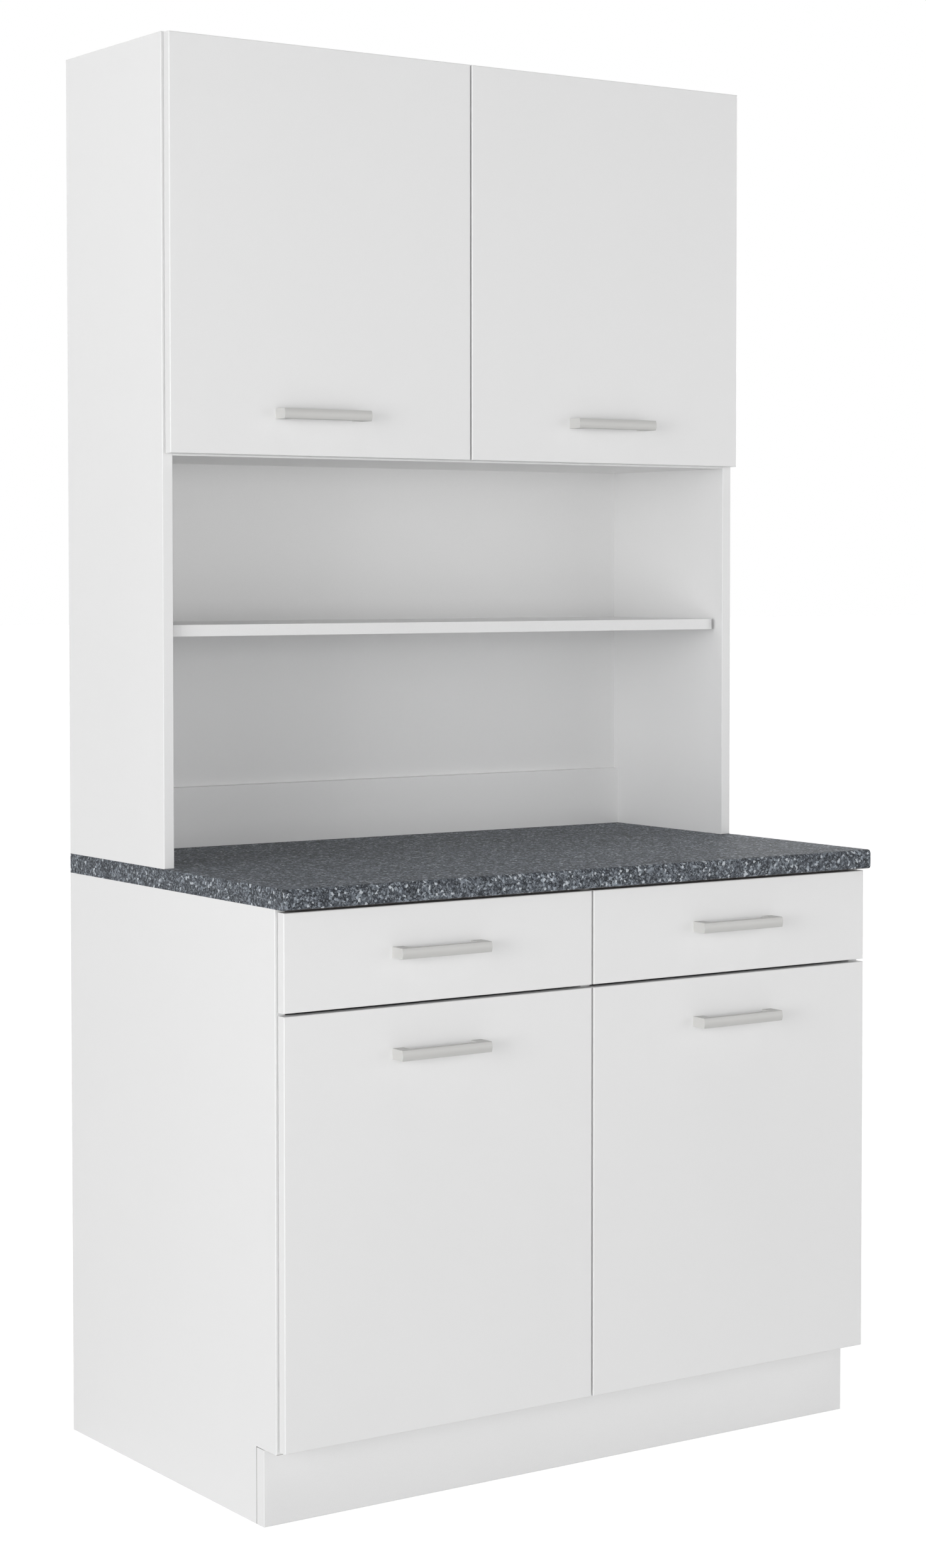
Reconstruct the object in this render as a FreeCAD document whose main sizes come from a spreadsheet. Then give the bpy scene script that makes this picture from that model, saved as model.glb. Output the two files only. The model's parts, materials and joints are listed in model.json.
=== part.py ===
"""Kitchen buffet: base with two drawers and two doors, worktop, and a hutch with a niche and two doors.

Frame: millimetres, x to the right, y to the back, z up. The origin is on the floor, midway between the
sides and midway between the back plane and the front of the handles. Depths are measured forwards from
the back plane, so a board's front is its distance from the wall.
"""
import FreeCAD, Part
import Sketcher
import math
import os
import re

doc = FreeCAD.newDocument("KitchenBuffet")

# Driving dimensions
sheet = doc.addObject("Spreadsheet::Sheet", "Sizes")
DIMENSIONS = [
    ("overall_width", 1000.0, "outside width"),
    ("panel", 16.0, "thickness of carcass boards and fronts"),
    ("edge_round", 1.0, "edging of carcass boards"),
    ("front_round", 1.5, "edging of doors and drawer fronts"),
    ("base_height", 822.0, "floor to worktop underside"),
    ("base_depth", 590.0, "depth of the base sides"),
    ("toe_height", 104.0, "height of the toe notch"),
    ("toe_setback", 52.0, "depth of the toe notch"),
    ("plinth_thickness", 19.0, "plinth board"),
    ("plinth_gap", 0.9, "slack between plinth and notch"),
    ("plinth_slack", 1.0, "slack above the plinth"),
    ("bracket_leg", 30.0, "leg of a plinth bracket"),
    ("bracket_lift", 35.0, "plinth bracket above the floor"),
    ("bracket_gauge", 2.0, "sheet of a plinth bracket"),
    ("worktop_thickness", 28.0, "worktop board"),
    ("worktop_overhang", 30.0, "worktop in front of the base sides"),
    ("worktop_top_round", 6.0, "rounding of the front top edge"),
    ("worktop_low_round", 5.0, "rounding of the front bottom edge"),
    ("niche_height", 571.0, "worktop to upper cabinet"),
    ("cabinet_height", 579.0, "upper cabinet"),
    ("hutch_depth", 288.0, "depth of the hutch sides"),
    ("back_thickness", 3.0, "fibreboard backs and drawer bottoms"),
    ("rebate_depth", 5.3, "rebate for the backs, from the back plane"),
    ("rebate_width", 8.0, "rebate for the backs, into the board"),
    ("back_rail_height", 90.0, "rail at the back of the niche"),
    ("niche_shelf_rise", 321.0, "worktop to the niche shelf's underside"),
    ("niche_shelf_setback", 13.0, "niche shelf behind the hutch front"),
    ("niche_shelf_round", 20.0, "rounded front corners of the niche shelf"),
    ("top_rail_depth", 90.0, "flat rails under the worktop"),
    ("top_rail_setback", 40.0, "front rails behind the base front"),
    ("door_gap", 2.0, "between carcass and fronts"),
    ("front_inset", 3.0, "fronts stand in from the sides"),
    ("centre_gap", 3.0, "between left and right fronts"),
    ("lower_door_rise", 4.5, "lower doors above the toe notch"),
    ("front_gap", 4.0, "between doors and drawer fronts"),
    ("drawer_front_height", 131.5, "drawer fronts"),
    ("worktop_gap", 3.5, "between drawer fronts and worktop"),
    ("upper_door_rise", 3.0, "upper doors above the cabinet's underside"),
    ("upper_door_drop", 1.5, "upper doors below the hutch top"),
    ("shelf_slack", 1.0, "loose shelves, each end and the back"),
    ("base_shelf_rise", 270.0, "base floor to shelf"),
    ("base_shelf_setback", 80.0, "base shelves behind the base front"),
    ("hutch_shelf_rise", 265.0, "upper cabinet floor to shelf"),
    ("hutch_shelf_setback", 20.0, "upper shelves behind the hutch front"),
    ("support_leg", 9.0, "both legs of a shelf support"),
    ("support_gauge", 1.5, "sheet of a shelf support"),
    ("support_width", 14.0, "shelf support, front to back"),
    ("support_inset", 30.0, "shelf supports from the shelf's front and back"),
    ("drawer_board", 12.0, "drawer sides and back"),
    ("drawer_height", 90.0, "drawer sides"),
    ("drawer_lift", 13.0, "drawer sides above the front's lower edge"),
    ("drawer_rear_room", 112.0, "behind the drawer box"),
    ("groove_lift", 10.0, "bottom groove above the side's lower edge"),
    ("groove_depth", 6.0, "bottom groove"),
    ("groove_slack", 0.2, "bottom groove over the bottom, in height"),
    ("runner_space", 12.5, "between drawer side and carcass"),
    ("runner_gauge", 1.2, "sheet of the runners"),
    ("runner_height", 35.0, "carcass runner"),
    ("runner_setback", 3.0, "carcass runner behind the base front"),
    ("runner_rear_room", 87.0, "behind the carcass runner"),
    ("runner_flange", 9.5, "flange of the carcass runner"),
    ("runner_play", 0.3, "between the two runner members"),
    ("handle_length", 143.0, "bar handle"),
    ("handle_height", 14.5, "bar handle"),
    ("handle_projection", 27.0, "bar handle, from the front"),
    ("handle_bar", 8.5, "bar of the handle, front to back"),
    ("handle_bow", 1.7, "rise of the bar's bowed face"),
    ("handle_leg", 17.0, "leg of the handle, along the bar"),
    ("handle_inner_round", 5.0, "inside corners of the handle"),
    ("handle_edge_round", 1.0, "long edges of the bowed face"),
    ("handle_left_shift", 9.8, "left handles stand off centre to the left"),
    ("handle_right_shift", 0.7, "right handles stand off centre to the left"),
    ("drawer_handle_rise", 69.0, "handle above the drawer front's lower edge"),
    ("lower_handle_drop", 62.7, "handle below the lower door's top"),
    ("upper_handle_rise", 58.1, "handle above the upper door's lower edge"),
    ("cup_width", 35.0, "hinge cup"),
    ("cup_depth", 12.0, "hinge cup in the door"),
    ("cup_wall", 0.8, "hinge cup wall and flange"),
    ("cup_centre", 19.0, "hinge cup centre from the door's edge"),
    ("cup_from_end", 90.0, "hinge cup from the door's top and bottom"),
    ("flange_start", 8.0, "hinge flange from the door's edge"),
    ("flange_length", 58.0, "hinge flange, up the door"),
    ("flange_width", 29.0, "hinge flange, across the door"),
    ("pivot_inset", 5.5, "hinge pin from the door's edge"),
    ("pivot_depth", 8.5, "hinge pin from the door's back"),
    ("pivot_width", 2.5, "hinge pin diameter"),
    ("pivot_end_room", 0.1, "between hinge pin and cup wall"),
    ("pivot_play", 0.1, "hinge eye over the pin, on diameter"),
    ("eye_wall", 0.95, "hinge eye around the pin"),
    ("arm_height", 8.0, "hinge arm at the pin"),
    ("arm_gauge", 2.0, "hinge arm"),
    ("arm_crank", 13.0, "hinge arm, pin to neck"),
    ("arm_bend_round", 2.0, "outside of the hinge arm's bend"),
    ("arm_shoe_height", 14.0, "hinge arm on its plate"),
    ("arm_shoe_lap", 6.0, "hinge arm's wide part in front of its plate"),
    ("plate_setback", 22.0, "hinge plate's front behind the carcass front"),
    ("plate_length", 42.0, "hinge plate, front to back"),
    ("plate_height", 46.0, "hinge plate's wings, tip to tip"),
    ("plate_waist", 16.0, "hinge plate's strip and wings, across"),
]
for row, (alias, number, note) in enumerate(DIMENSIONS, start=1):
    sheet.set(f"A{row}", note)
    sheet.set(f"B{row}", str(number))
    sheet.setAlias(f"B{row}", alias)
doc.recompute()

# Derived planes, as text over the sheet
BACK = "(base_depth + door_gap + panel + handle_projection) / 2"
HALF = "overall_width / 2"
INNER = f"({HALF} - panel)"
BAY = f"({INNER} - panel / 2)"
BAY_CENTRE = f"(panel / 2 + {BAY} / 2)"
WORKTOP_TOP = "(base_height + worktop_thickness)"
HUTCH_FLOOR = f"({WORKTOP_TOP} + niche_height)"
HUTCH_TOP = f"({HUTCH_FLOOR} + cabinet_height)"
BASE_FACE = "(base_depth + door_gap + panel)"
HUTCH_FACE = "(hutch_depth + door_gap + panel)"
FRONT_WIDTH = f"({HALF} - front_inset - centre_gap / 2)"
DRAWER_BOTTOM = "(base_height - worktop_gap - drawer_front_height)"
LOWER_BOTTOM = "(toe_height + lower_door_rise)"
LOWER_HEIGHT = f"({DRAWER_BOTTOM} - front_gap - {LOWER_BOTTOM})"
UPPER_BOTTOM = f"({HUTCH_FLOOR} + upper_door_rise)"
UPPER_HEIGHT = "(cabinet_height - upper_door_rise - upper_door_drop)"
SHELF_BACK = "(rebate_depth + shelf_slack)"

ALIAS = re.compile(r"\b[a-z][a-z_]*\b(?!\()")
SIDES = {"left": "-1", "right": "1"}
NEAR = 0.01
pieces = []


def bound(text):
    """An expression over the sheet: each word that isn't a function is an alias."""
    return ALIAS.sub(lambda word: "Sizes." + word.group(0), text)


def size(alias):
    return float(sheet.get(alias))


def place(item, x, front, bottom):
    """Bind where an item stands; front is measured from the back plane."""
    item.setExpression("Placement.Base.x", bound(x))
    item.setExpression("Placement.Base.y", bound(f"{BACK} - ({front})"))
    item.setExpression("Placement.Base.z", bound(bottom))


def keep(item, label):
    """Name a finished sub-part."""
    item.Label = label
    pieces.append(item)


def from_middle(side, near, wide):
    """Left face of something `wide` that starts `near` from the middle on one side."""
    return near if side == "right" else f"-({near}) - ({wide})"


# Solids from primitives
def board(name, x, front, bottom, wide, deep, tall):
    item = doc.addObject("Part::Box", name)
    item.setExpression("Length", bound(wide))
    item.setExpression("Width", bound(deep))
    item.setExpression("Height", bound(tall))
    place(item, x, front, bottom)
    return item


def bore(name, x, front, middle, width, length):
    """A cylinder that runs back from its front end."""
    item = doc.addObject("Part::Cylinder", name)
    item.setExpression("Radius", bound(f"({width}) / 2"))
    item.setExpression("Height", bound(length))
    item.Placement.Rotation = FreeCAD.Rotation(FreeCAD.Vector(1, 0, 0), -90)
    place(item, x, front, middle)
    return item


def group(name, items):
    item = doc.addObject("Part::Compound", name)
    item.Links = items
    return item


def cut(name, base, tools):
    item = doc.addObject("Part::Cut", name)
    item.Base = base
    item.Tool = tools[0] if len(tools) == 1 else group(name + "_tools", tools)
    return item


def picked_edges(shape, wanted):
    """Numbers of the edges that `wanted` accepts by middle point and direction."""
    numbers = []
    for number, edge in enumerate(shape.Edges, start=1):
        middle = edge.valueAt((edge.FirstParameter + edge.LastParameter) / 2)
        if wanted(middle, edge.tangentAt(edge.FirstParameter)):
            numbers.append(number)
    return numbers


def rounded(name, base, alias, wanted):
    """Round a primitive's edges."""
    doc.recompute()
    radius = size(alias)
    item = doc.addObject("Part::Fillet", name)
    item.Base = base
    numbers = picked_edges(base.Shape, wanted(base.Shape.BoundBox))
    item.Edges = [(number, radius, radius) for number in numbers]
    return item


def front_edges(bounds):
    return lambda middle, along: abs(middle.y - bounds.YMin) < NEAR


def edged_board(name, *sizes):
    """A board with rounded edging round its front edge."""
    return rounded(name, board(name + "_blank", *sizes), "edge_round", front_edges)


# Solids from sketches
def sketch_on(body, name, role, offset="0"):
    sketch = body.newObject("Sketcher::SketchObject", name)
    planes = [plane for plane in body.Origin.OriginFeatures if plane.Role == role]
    sketch.AttachmentSupport = [(planes[0], "")]
    sketch.MapMode = "FlatFace"
    sketch.setExpression("AttachmentOffset.Base.z", bound(offset))
    return sketch


def outline(body, name, role, corners, offset="0", bowed=None):
    """A closed outline whose corners are bound to the sheet.

    bowed gives the number of one side that is an arc, and its radius; the corners then run anticlockwise.
    """
    sketch = sketch_on(body, name, role, offset)
    count = len(corners)
    turn = 2 * math.pi / count
    starts = [FreeCAD.Vector(math.cos(turn * number), math.sin(turn * number), 0) for number in range(count)]
    for number in range(count):
        if bowed and number == bowed[0]:
            circle = Part.Circle(FreeCAD.Vector(), FreeCAD.Vector(0, 0, 1), 1.0)
            sketch.addGeometry(Part.ArcOfCircle(circle, turn * number, turn * (number + 1)), False)
        else:
            sketch.addGeometry(Part.LineSegment(starts[number], starts[(number + 1) % count]), False)
    for number in range(count):
        sketch.addConstraint(Sketcher.Constraint("Coincident", number, 2, (number + 1) % count, 1))
    for number, (across, along) in enumerate(corners):
        level = sketch.addConstraint(Sketcher.Constraint("DistanceX", -1, 1, number, 1, starts[number].x))
        sketch.setExpression(f"Constraints[{level}]", bound(across))
        level = sketch.addConstraint(Sketcher.Constraint("DistanceY", -1, 1, number, 1, starts[number].y))
        sketch.setExpression(f"Constraints[{level}]", bound(along))
    if bowed:
        level = sketch.addConstraint(Sketcher.Constraint("Radius", bowed[0], 1.0))
        sketch.setExpression(f"Constraints[{level}]", bound(bowed[1]))
    return sketch


def ring(body, name, width):
    """A circle round the body's upright axis."""
    sketch = sketch_on(body, name, "XY_Plane")
    sketch.addGeometry(Part.Circle(FreeCAD.Vector(), FreeCAD.Vector(0, 0, 1), 1.0), False)
    sketch.addConstraint(Sketcher.Constraint("Coincident", 0, 3, -1, 1))
    level = sketch.addConstraint(Sketcher.Constraint("Diameter", 0, 2.0))
    sketch.setExpression(f"Constraints[{level}]", bound(width))
    return sketch


def extrude(body, kind, name, sketch, length):
    """A Pad, or a Pocket that runs the same way as a Pad would."""
    item = body.newObject(f"PartDesign::{kind}", name)
    item.Profile = sketch
    item.setExpression("Length", bound(length))
    item.Reversed = kind == "Pocket"
    doc.recompute()
    return item


def soften(body, name, base, alias, wanted):
    """Round a body's edges."""
    item = body.newObject("PartDesign::Fillet", name)
    item.Base = (base, [f"Edge{number}" for number in picked_edges(base.Shape, wanted)])
    item.setExpression("Radius", bound(alias))
    doc.recompute()
    return item


def new_body(name):
    return doc.addObject("PartDesign::Body", name)


# Base carcass
for side in SIDES:
    label = f"base_side_{side}"
    body = new_body(label + "_body")
    notch_y = "-(base_depth - toe_setback)"
    shape = outline(body, label + "_outline", "YZ_Plane", [
        ("0", "0"), ("0", "base_height"), ("-base_depth", "base_height"), ("-base_depth", "toe_height"),
        (notch_y, "toe_height"), (notch_y, "0")])
    shape = extrude(body, "Pad", label + "_panel", shape, "panel")
    front_y = -size("base_depth")
    soften(body, label + "_edging", shape, "edge_round",
           lambda middle, along: abs(middle.y - front_y) < NEAR and abs(along.z) > 1 - NEAR)
    place(body, from_middle(side, INNER, "panel"), "0", "0")
    rebate = board(label + "_rebate", from_middle(side, INNER, "rebate_width"), "rebate_depth", "toe_height",
                   "rebate_width", "rebate_depth", "base_height - toe_height")
    keep(cut(label, body, [rebate]), label)

keep(edged_board("base_floor", f"-{INNER}", "base_depth", "toe_height", f"2 * {INNER}",
                 "base_depth - rebate_depth", "panel"), "base_floor")
keep(edged_board("base_divider", "-panel / 2", "base_depth", "toe_height + panel", "panel",
                 "base_depth - rebate_depth", "base_height - toe_height - panel"), "base_divider")
keep(board("base_back", f"-{INNER} - rebate_width", "rebate_depth", "toe_height",
           f"2 * ({INNER} + rebate_width)", "back_thickness", "base_height - toe_height"), "base_back")

rails = []
for side in SIDES:
    for end, front in (("front", "base_depth - top_rail_setback"), ("rear", "rebate_depth + top_rail_depth")):
        rails.append(board(f"top_rail_{end}_{side}", from_middle(side, "panel / 2", BAY), front,
                           "base_height - panel", BAY, "top_rail_depth", "panel"))
keep(group("base_top_rails", rails), "base_top_rails")

# Plinth and its brackets
PLINTH_BACK = "(base_depth - toe_setback + plinth_gap)"
keep(edged_board("plinth", f"-{HALF}", f"{PLINTH_BACK} + plinth_thickness", "0", "overall_width",
                 "plinth_thickness", "toe_height - plinth_slack"), "plinth")
brackets = []
for side, way in SIDES.items():
    body = new_body(f"plinth_bracket_{side}")
    leg = f"-({way}) * bracket_leg"
    gauge = f"-({way}) * bracket_gauge"
    angle = outline(body, f"plinth_bracket_angle_{side}", "XY_Plane", [
        ("0", "0"), (leg, "0"), (leg, "bracket_gauge"), (gauge, "bracket_gauge"), (gauge, "bracket_leg"),
        ("0", "bracket_leg")])
    extrude(body, "Pad", f"plinth_bracket_sheet_{side}", angle, "bracket_leg")
    place(body, f"{way} * {INNER}", PLINTH_BACK, "bracket_lift")
    brackets.append(body)
keep(group("plinth_brackets", brackets), "plinth_brackets")

# Loose shelves on angle supports
LEVELS = {
    "base": ("(base_depth - base_shelf_setback)", "(toe_height + panel + base_shelf_rise)"),
    "hutch": ("(hutch_depth - hutch_shelf_setback)", f"({HUTCH_FLOOR} + panel + hutch_shelf_rise)"),
}
supports = []


def shelf_support(name, x, toward, front, shelf_bottom):
    """An angle on an upright; toward is the way its level leg points along x."""
    body = new_body(name)
    leg = f"{toward} * support_leg"
    gauge = f"{toward} * support_gauge"
    angle = outline(body, name + "_angle", "XZ_Plane", [
        ("0", "0"), (leg, "0"), (leg, "-support_gauge"), (gauge, "-support_gauge"), (gauge, "-support_leg"),
        ("0", "-support_leg")])
    extrude(body, "Pad", name + "_sheet", angle, "support_width")
    place(body, x, front, shelf_bottom)
    return body


for level, (front, bottom) in LEVELS.items():
    for side, way in SIDES.items():
        label = f"{level}_shelf_{side}"
        wide = f"({BAY} - 2 * shelf_slack)"
        keep(edged_board(label, from_middle(side, "panel / 2 + shelf_slack", wide), front, bottom, wide,
                         f"{front} - {SHELF_BACK}", "panel"), label)
        for row, start in (("rear", f"{SHELF_BACK} + support_inset"),
                           ("front", f"{front} - support_inset - support_width")):
            name = f"{level}_{side}_{row}"
            for upright, x, toward in (("outer", f"{way} * {INNER}", f"-({way})"),
                                       ("inner", f"{way} * panel / 2", way)):
                supports.append(shelf_support(f"{name}_{upright}_support", x, toward, start, bottom))
keep(group("shelf_supports", supports), "shelf_supports")

# Worktop
WORKTOP_DEPTH = "(base_depth + worktop_overhang)"
worktop = new_body("worktop")
shape = outline(worktop, "worktop_outline", "XY_Plane", [
    (f"-{HALF}", "0"), (HALF, "0"), (HALF, f"-{WORKTOP_DEPTH}"), (f"-{HALF}", f"-{WORKTOP_DEPTH}")])
shape = extrude(worktop, "Pad", "worktop_slab", shape, "worktop_thickness")
worktop_front = -size("base_depth") - size("worktop_overhang")
shape = soften(worktop, "worktop_top_edge", shape, "worktop_top_round",
               lambda middle, along: abs(middle.y - worktop_front) < NEAR
               and middle.z > size("worktop_thickness") - NEAR)
soften(worktop, "worktop_low_edge", shape, "worktop_low_round",
       lambda middle, along: abs(middle.y - worktop_front) < NEAR and middle.z < NEAR)
place(worktop, "0", "0", "base_height")
keep(worktop, "worktop")

# Hutch
RAIL_TOP = f"({WORKTOP_TOP} + back_rail_height)"
BACK_BOTTOM = f"({RAIL_TOP} - rebate_width)"
for side in SIDES:
    label = f"hutch_side_{side}"
    blank = edged_board(label + "_panel", from_middle(side, INNER, "panel"), "hutch_depth", WORKTOP_TOP,
                        "panel", "hutch_depth", f"{HUTCH_TOP} - {WORKTOP_TOP}")
    rebate = board(label + "_rebate", from_middle(side, INNER, "rebate_width"), "rebate_depth", BACK_BOTTOM,
                   "rebate_width", "rebate_depth", f"{HUTCH_TOP} - {BACK_BOTTOM}")
    keep(cut(label, blank, [rebate]), label)

INNER_DEPTH = "hutch_depth - rebate_depth"
keep(edged_board("hutch_top", f"-{INNER}", "hutch_depth", f"{HUTCH_TOP} - panel", f"2 * {INNER}", INNER_DEPTH,
                 "panel"), "hutch_top")
keep(edged_board("hutch_floor", f"-{INNER}", "hutch_depth", HUTCH_FLOOR, f"2 * {INNER}", INNER_DEPTH,
                 "panel"), "hutch_floor")
keep(edged_board("hutch_divider", "-panel / 2", "hutch_depth", f"{HUTCH_FLOOR} + panel", "panel", INNER_DEPTH,
                 "cabinet_height - 2 * panel"), "hutch_divider")
keep(board("hutch_back", f"-{INNER} - rebate_width", "rebate_depth", BACK_BOTTOM,
           f"2 * ({INNER} + rebate_width)", "back_thickness", f"{HUTCH_TOP} - {BACK_BOTTOM}"), "hutch_back")


def top_front_edge(bounds):
    return lambda middle, along: abs(middle.y - bounds.YMin) < NEAR and abs(middle.z - bounds.ZMax) < NEAR


rail = board("hutch_back_rail_blank", f"-{INNER}", "panel", WORKTOP_TOP, f"2 * {INNER}", "panel",
             "back_rail_height")
rail = rounded("hutch_back_rail_edged", rail, "edge_round", top_front_edge)
rebate = board("hutch_back_rail_rebate", f"-{INNER}", "rebate_depth", BACK_BOTTOM, f"2 * {INNER}",
               "rebate_depth", "rebate_width")
keep(cut("hutch_back_rail", rail, [rebate]), "hutch_back_rail")

SHELF_FRONT = "(hutch_depth - niche_shelf_setback)"
shelf = new_body("niche_shelf")
shape = outline(shelf, "niche_shelf_outline", "XY_Plane", [
    (f"-{INNER}", "-rebate_depth"), (INNER, "-rebate_depth"), (INNER, f"-{SHELF_FRONT}"),
    (f"-{INNER}", f"-{SHELF_FRONT}")])
shape = extrude(shelf, "Pad", "niche_shelf_board", shape, "panel")
shelf_front = size("niche_shelf_setback") - size("hutch_depth")
soften(shelf, "niche_shelf_corners", shape, "niche_shelf_round",
       lambda middle, along: abs(middle.y - shelf_front) < NEAR and abs(along.z) > 1 - NEAR)
place(shelf, "0", "0", f"{WORKTOP_TOP} + niche_shelf_rise")
keep(shelf, "niche_shelf")


# Fronts and handles
def front_left(side):
    """Left edge of a door or drawer front."""
    return from_middle(side, "centre_gap / 2", FRONT_WIDTH)


def front_panel(name, side, face, bottom, tall):
    """A door or drawer front with rounded edging at the front, and at the back of its outer edge."""
    def wanted(bounds):
        outer = bounds.XMin if side == "left" else bounds.XMax

        def accept(middle, along):
            at_front = abs(middle.y - bounds.YMin) < NEAR
            at_outer_back = abs(middle.y - bounds.YMax) < NEAR and abs(middle.x - outer) < NEAR
            return at_front or at_outer_back
        return accept
    blank = board(name + "_blank", front_left(side), face, bottom, FRONT_WIDTH, "panel", tall)
    return rounded(name + "_edged", blank, "front_round", wanted)


def handle(label, side, face, middle):
    """A bar handle on a front: a bar with a bowed face, hollowed at the back between two legs."""
    half = "handle_height / 2"
    rim = "-(handle_projection - handle_bow)"
    bow_radius = "((handle_height / 2) ^ 2 + handle_bow ^ 2) / (2 * handle_bow)"
    bar_back = "-(handle_projection - handle_bar)"
    far_leg = "(handle_length - handle_leg)"
    body = new_body(label)
    shape = outline(body, label + "_section", "YZ_Plane", [
        ("0", f"-{half}"), ("0", half), (rim, half), (rim, f"-{half}")], bowed=(2, bow_radius))
    shape = extrude(body, "Pad", label + "_bar", shape, "handle_length")
    rim_y = size("handle_bow") - size("handle_projection")
    soften(body, label + "_edges", shape, "handle_edge_round",
           lambda at, along: abs(at.y - rim_y) < NEAR and abs(along.x) > 1 - NEAR)
    grip = outline(body, label + "_grip_outline", "XY_Plane", [
        ("handle_leg", "0"), ("handle_leg", bar_back), (far_leg, bar_back), (far_leg, "0")], f"-{half}")
    shape = extrude(body, "Pocket", label + "_grip", grip, "handle_height")
    inside_y = size("handle_bar") - size("handle_projection")
    soften(body, label + "_inside", shape, "handle_inner_round",
           lambda at, along: abs(at.y - inside_y) < NEAR and abs(along.z) > 1 - NEAR)
    centre = f"{front_left(side)} + {FRONT_WIDTH} / 2 - handle_{side}_shift"
    place(body, f"{centre} - handle_length / 2", face, middle)
    keep(body, label)


# Doors with concealed hinges: a cup and pin in the door, an arm and a plate on the carcass
DOOR_EDGE = f"({HALF} - front_inset)"
NECK = f"({DOOR_EDGE} - pivot_inset - arm_crank)"
PIVOT_OFFSET = "(cup_centre - pivot_inset + pivot_width / 2)"
PIVOT_HALF = f"(sqrt((cup_width / 2 - cup_wall) ^ 2 - {PIVOT_OFFSET} ^ 2) - pivot_end_room)"
EYE_WIDTH = "(pivot_width + pivot_play + 2 * eye_wall)"
PLATE_GAUGE = f"({INNER} - {NECK} - arm_gauge / 2)"
arms = []
plates = []


def hinge_cup(name, side, face, middle):
    """The pressed cup with its flange on the door's back, and the pin across the cup."""
    way = SIDES[side]
    door_back = f"({face} - panel)"
    centre = f"{way} * ({DOOR_EDGE} - cup_centre)"
    pressing = doc.addObject("Part::Fuse", name + "_pressing")
    flange_x = from_middle(side, f"{DOOR_EDGE} - flange_start - flange_width", "flange_width")
    pressing.Base = bore(name + "_shell", centre, f"{door_back} + cup_depth", middle, "cup_width",
                         "cup_depth")
    pressing.Tool = board(name + "_flange", flange_x, door_back, f"{middle} - flange_length / 2",
                          "flange_width", "cup_wall", "flange_length")
    hollow = bore(name + "_hollow", centre, f"{door_back} + cup_depth - cup_wall", middle,
                  "cup_width - 2 * cup_wall", "cup_depth")
    pin = new_body(name + "_pin")
    section = ring(pin, name + "_pin_section", "pivot_width")
    extrude(pin, "Pad", name + "_pin_rod", section, f"2 * {PIVOT_HALF}")
    place(pin, f"{way} * ({DOOR_EDGE} - pivot_inset)", f"{door_back} + pivot_depth",
          f"{middle} - {PIVOT_HALF}")
    return [cut(name + "_cup", pressing, [hollow]), pin]


def hinge_arm(name, side, face, carcass_front, middle):
    """A cranked arm from the pin's eye, round the door's edge and back to its plate."""
    inward = f"-({SIDES[side]})"
    near_side = f"{inward} * (arm_crank + arm_gauge / 2)"
    far_side = f"{inward} * (arm_crank - arm_gauge / 2)"
    pivot_front = f"({face} - panel + pivot_depth)"
    length = f"({pivot_front} - {carcass_front} + plate_setback + plate_length)"
    shoe = f"({pivot_front} - {carcass_front} + plate_setback - arm_shoe_lap)"
    body = new_body(name)
    strip = outline(body, name + "_strip_outline", "XY_Plane", [
        ("0", "-arm_gauge / 2"), (near_side, "-arm_gauge / 2"), (near_side, length), (far_side, length),
        (far_side, "arm_gauge / 2"), ("0", "arm_gauge / 2")])
    strip = extrude(body, "Pad", name + "_strip", strip, "arm_height")
    front_y = -size("arm_gauge") / 2
    bend_x = size("arm_crank") + size("arm_gauge") / 2
    soften(body, name + "_bend", strip, "arm_bend_round",
           lambda at, along: abs(at.y - front_y) < NEAR and abs(abs(at.x) - bend_x) < NEAR)
    wide = outline(body, name + "_shoe_outline", "XY_Plane", [
        (near_side, shoe), (near_side, length), (far_side, length), (far_side, shoe)],
        "(arm_height - arm_shoe_height) / 2")
    extrude(body, "Pad", name + "_shoe", wide, "arm_shoe_height")
    section = ring(body, name + "_eye_section", EYE_WIDTH)
    extrude(body, "Pad", name + "_eye", section, "arm_height")
    section = ring(body, name + "_bearing_section", "pivot_width + pivot_play")
    extrude(body, "Pocket", name + "_bearing", section, "arm_height")
    place(body, f"{SIDES[side]} * ({DOOR_EDGE} - pivot_inset)", pivot_front, f"{middle} - arm_height / 2")
    return body


def hinge_plate(name, side, carcass_front, middle):
    """A winged plate on the carcass side, under the arm."""
    body = new_body(name)
    strip = "plate_waist / 2"
    wing = "plate_height / 2"
    wing_front = "(plate_length + plate_waist) / 2"
    wing_back = "(plate_length - plate_waist) / 2"
    shape = outline(body, name + "_outline", "YZ_Plane", [
        ("0", f"-{strip}"), (wing_back, f"-{strip}"), (wing_back, f"-{wing}"), (wing_front, f"-{wing}"),
        (wing_front, f"-{strip}"), ("plate_length", f"-{strip}"), ("plate_length", strip),
        (wing_front, strip), (wing_front, wing), (wing_back, wing), (wing_back, strip), ("0", strip)])
    extrude(body, "Pad", name + "_block", shape, PLATE_GAUGE)
    place(body, from_middle(side, f"{INNER} - {PLATE_GAUGE}", PLATE_GAUGE),
          f"{carcass_front} - plate_setback", middle)
    return body


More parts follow.
